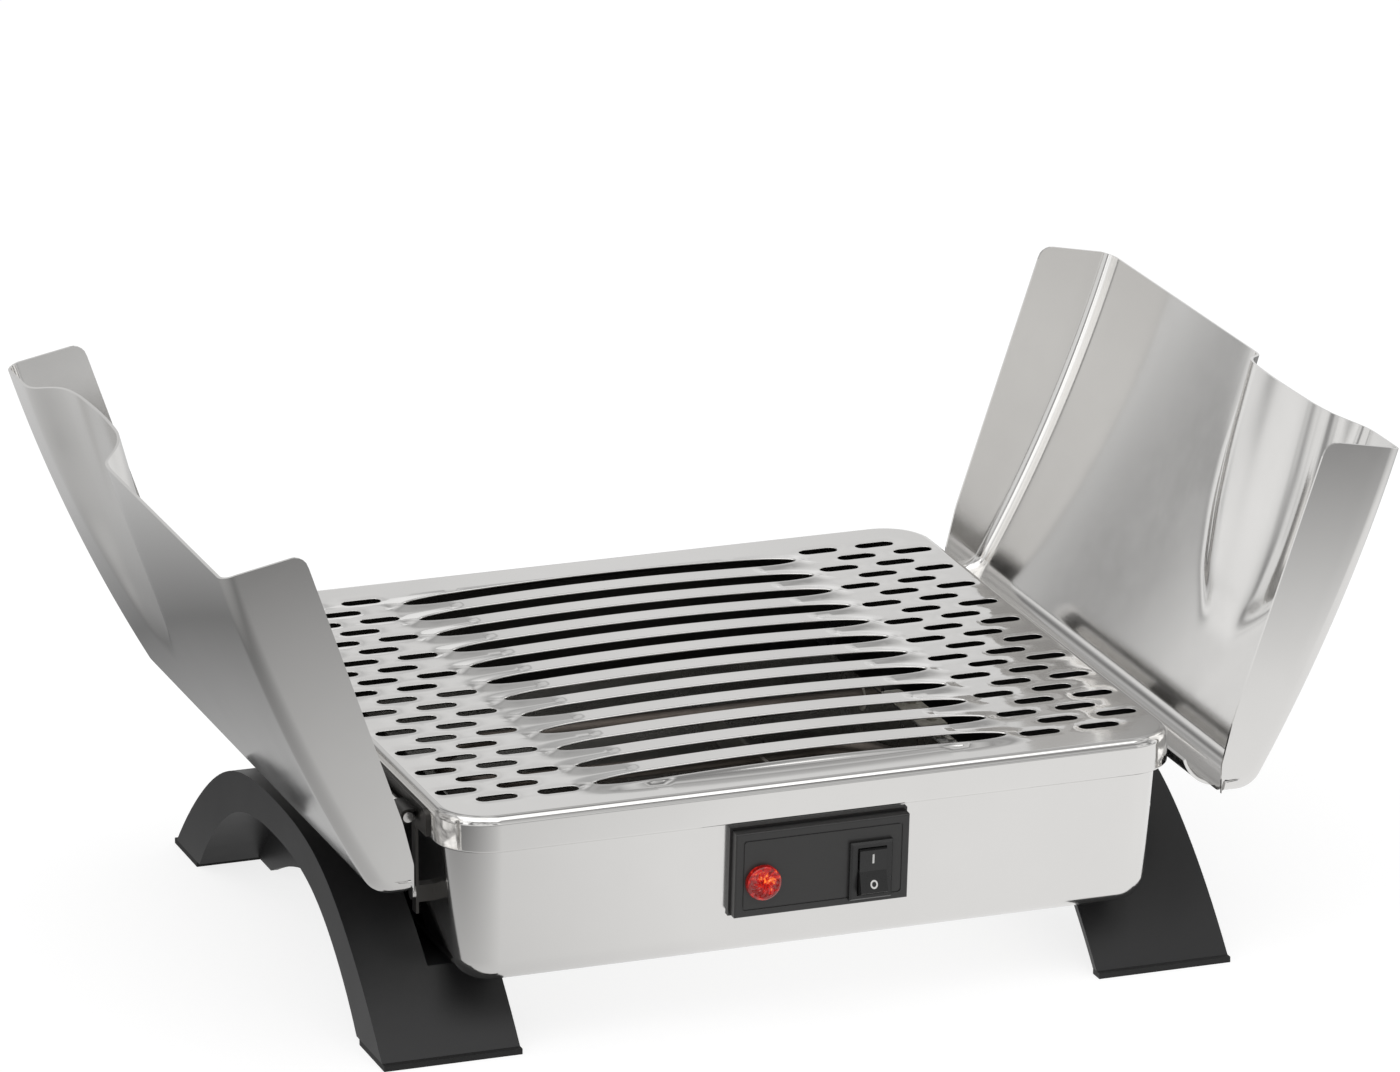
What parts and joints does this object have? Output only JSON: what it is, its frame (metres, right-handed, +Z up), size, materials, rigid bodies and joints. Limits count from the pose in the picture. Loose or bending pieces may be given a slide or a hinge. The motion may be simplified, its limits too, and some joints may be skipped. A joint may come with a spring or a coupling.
{
  "type": "plate warmer",
  "caption": "Table-top electric plate warmer: slotted steel cover on a drawn tub, arched plastic feet, two fold-over side wings, rocker switch and pilot lamp.",
  "frame": {"origin": "middle of the footprint on the surface that the warmer stands on", "axes": "+X to the right seen from the front, +Y to the back, +Z up"},
  "size_m": [0.4174, 0.26, 0.1853],
  "materials": {
    "polished_steel": "polished",
    "plain_steel": "satin",
    "black_moulding": "satin",
    "black_rubber": "matte",
    "panel_plastic": "satin",
    "red_lens": "gloss",
    "heater_sheath": "oxidised",
    "ceramic_parts": "matte",
    "lead_sleeve": "matte",
    "brass_parts": "satin"
  },
  "bodies": {
    "base": {"top_cover": "polished_steel", "housing_tub": "polished_steel", "left_hinge_bracket": "plain_steel", "right_hinge_bracket": "plain_steel", "left_hinge_pin": "plain_steel", "right_hinge_pin": "plain_steel", "bracket_rivets": "plain_steel", "left_foot": "black_moulding", "right_foot": "black_moulding", "left_foot_pads": "black_rubber", "right_foot_pads": "black_rubber", "foot_screws": "plain_steel", "foot_nuts": "plain_steel", "panel_backing": "panel_plastic", "control_panel": "panel_plastic", "lamp_lens": "red_lens", "lamp_body": "panel_plastic", "switch_body": "panel_plastic", "switch_terminals": "brass_parts", "reflector_tray": "plain_steel", "tray_standoffs": "ceramic_parts", "heating_element": "heater_sheath", "element_bushes": "ceramic_parts", "element_supports": "plain_steel", "thermostat": "ceramic_parts", "thermal_fuse": "plain_steel", "terminal_block": "ceramic_parts", "switch_leads": "lead_sleeve", "lamp_leads": "lead_sleeve", "element_leads": "lead_sleeve", "earth_stud": "brass_parts", "cord_gland": "panel_plastic", "gland_nut": "panel_plastic"},
    "left_wing_body": {"left_wing": "polished_steel"},
    "right_wing_body": {"right_wing": "polished_steel"},
    "rocker_body": {"switch_rocker": "panel_plastic"}
  },
  "joints": [
    {"name": "right_wing_fold", "type": "hinge", "parent": "base", "child": "right_wing_body", "pos_m": [0.1348, 0, 0.0788], "axis": [0, -1, 0], "range_deg": [0, 114.2]},
    {"name": "left_wing_fold", "type": "hinge", "parent": "base", "child": "left_wing_body", "pos_m": [-0.1348, 0, 0.0788], "axis": [0, 1, 0], "range_deg": [0, 114.2]},
    {"name": "switch_rock", "type": "hinge", "parent": "base", "child": "rocker_body", "pos_m": [0.01705, -0.12644, 0.05326], "axis": [1, 0, 0], "range_deg": [0, 18]}
  ]
}
